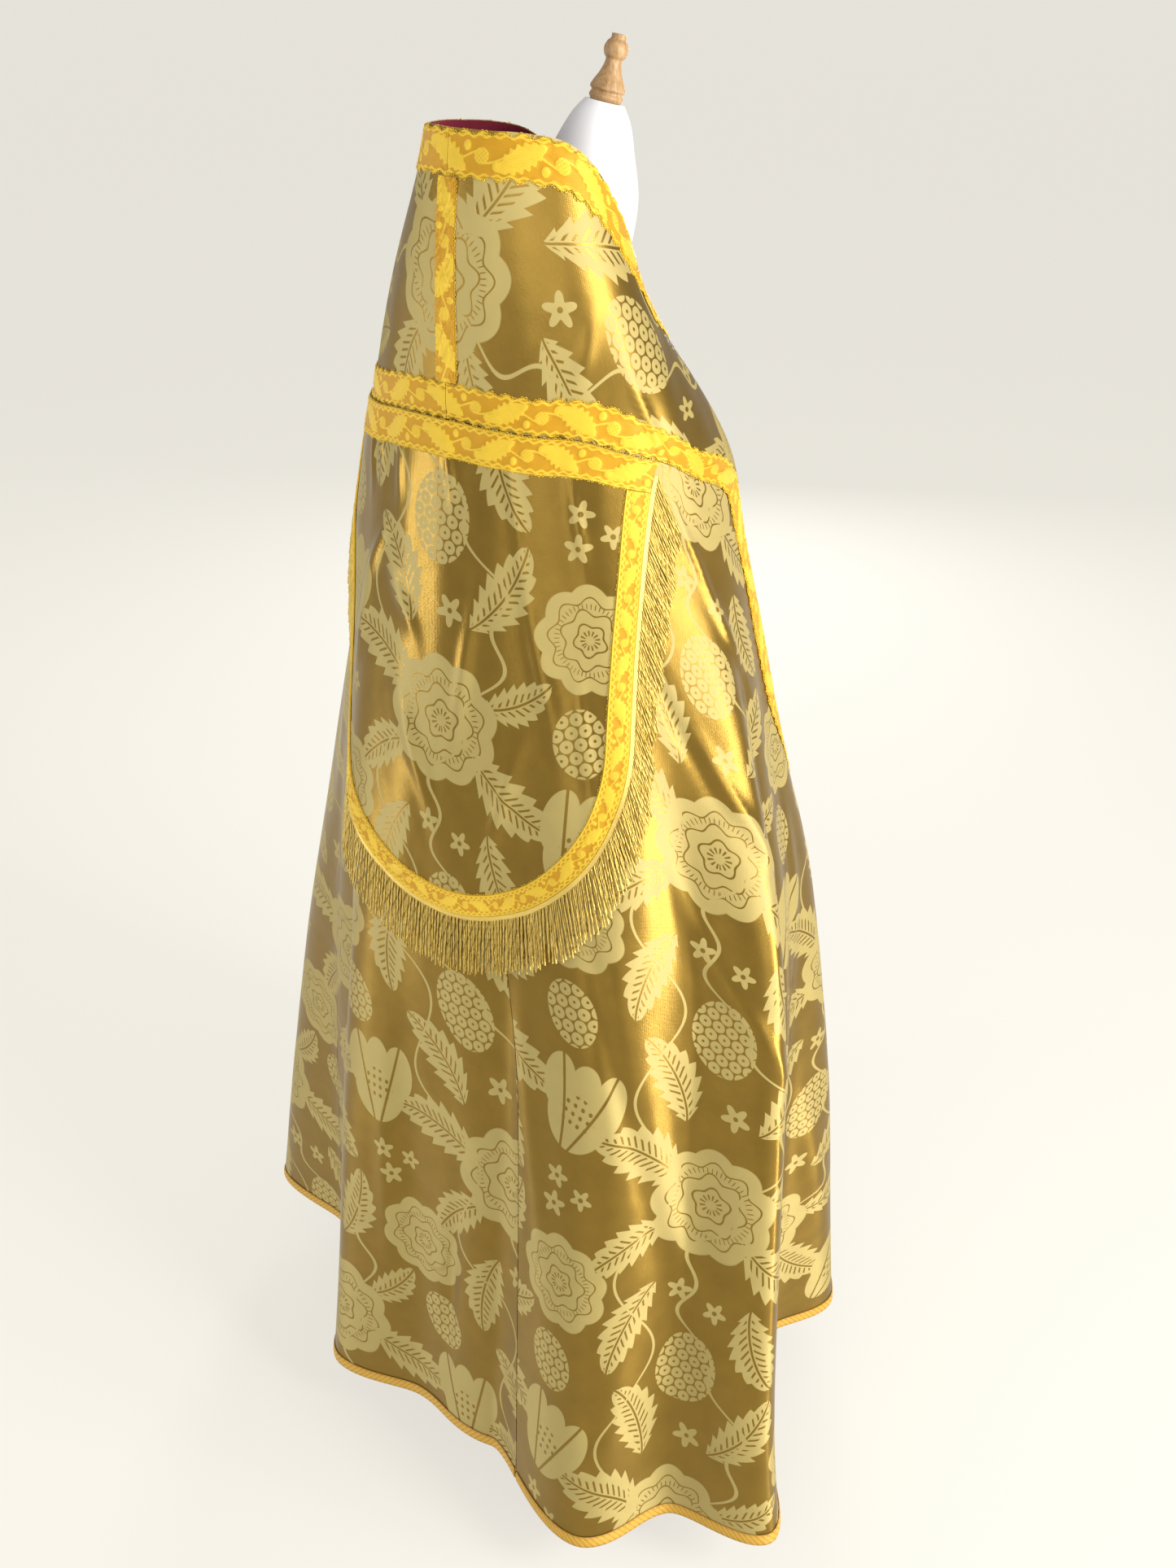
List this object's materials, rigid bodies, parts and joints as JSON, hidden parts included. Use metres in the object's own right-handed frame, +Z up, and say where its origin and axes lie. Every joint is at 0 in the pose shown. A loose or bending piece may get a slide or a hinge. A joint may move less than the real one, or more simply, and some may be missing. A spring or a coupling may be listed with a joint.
{
  "type": "cope vestment on a dress form",
  "caption": "Gold damask cope with orphrey, galloons, shield-shaped fringed hood and crimson neck lining, worn open on a limbless dress form with a round foot.",
  "frame": {"origin": "on the floor, in the middle of the stand's round foot", "axes": "+Z up; the fronts open towards -Y, the back and its hood face +Y, and the wearer's right side is -X"},
  "size_m": [0.8765, 0.7366, 1.6278],
  "materials": {
    "damask": "gold and bronze silk-like damask",
    "lining": "crimson satin lining",
    "galloon": "yellow gold woven galloon with relief",
    "braid": "ochre gold twisted hem braid",
    "fringe": "gold metallised twisted fringe",
    "jersey": "white stretch jersey cover",
    "wood": "turned and oiled",
    "steel": "satin dark enamel"
  },
  "bodies": {
    "root": {"body_right": "damask", "body_left": "damask", "orphrey_right": "damask", "orphrey_left": "damask", "hood": "damask", "clasp_band": "damask", "lining_neck": "lining", "galloon_front_right": "galloon", "galloon_front_left": "galloon", "galloon_orphrey_right": "galloon", "galloon_orphrey_left": "galloon", "galloon_back_strip": "galloon", "galloon_hood_top": "galloon", "galloon_hood_edge": "galloon", "braid_hem_right": "braid", "braid_hem_left": "braid", "fringe_hood": "fringe", "dress_form": "jersey", "neck_knob": "wood", "stand_pole": "steel", "stand_base": "steel"}
  },
  "joints": []
}
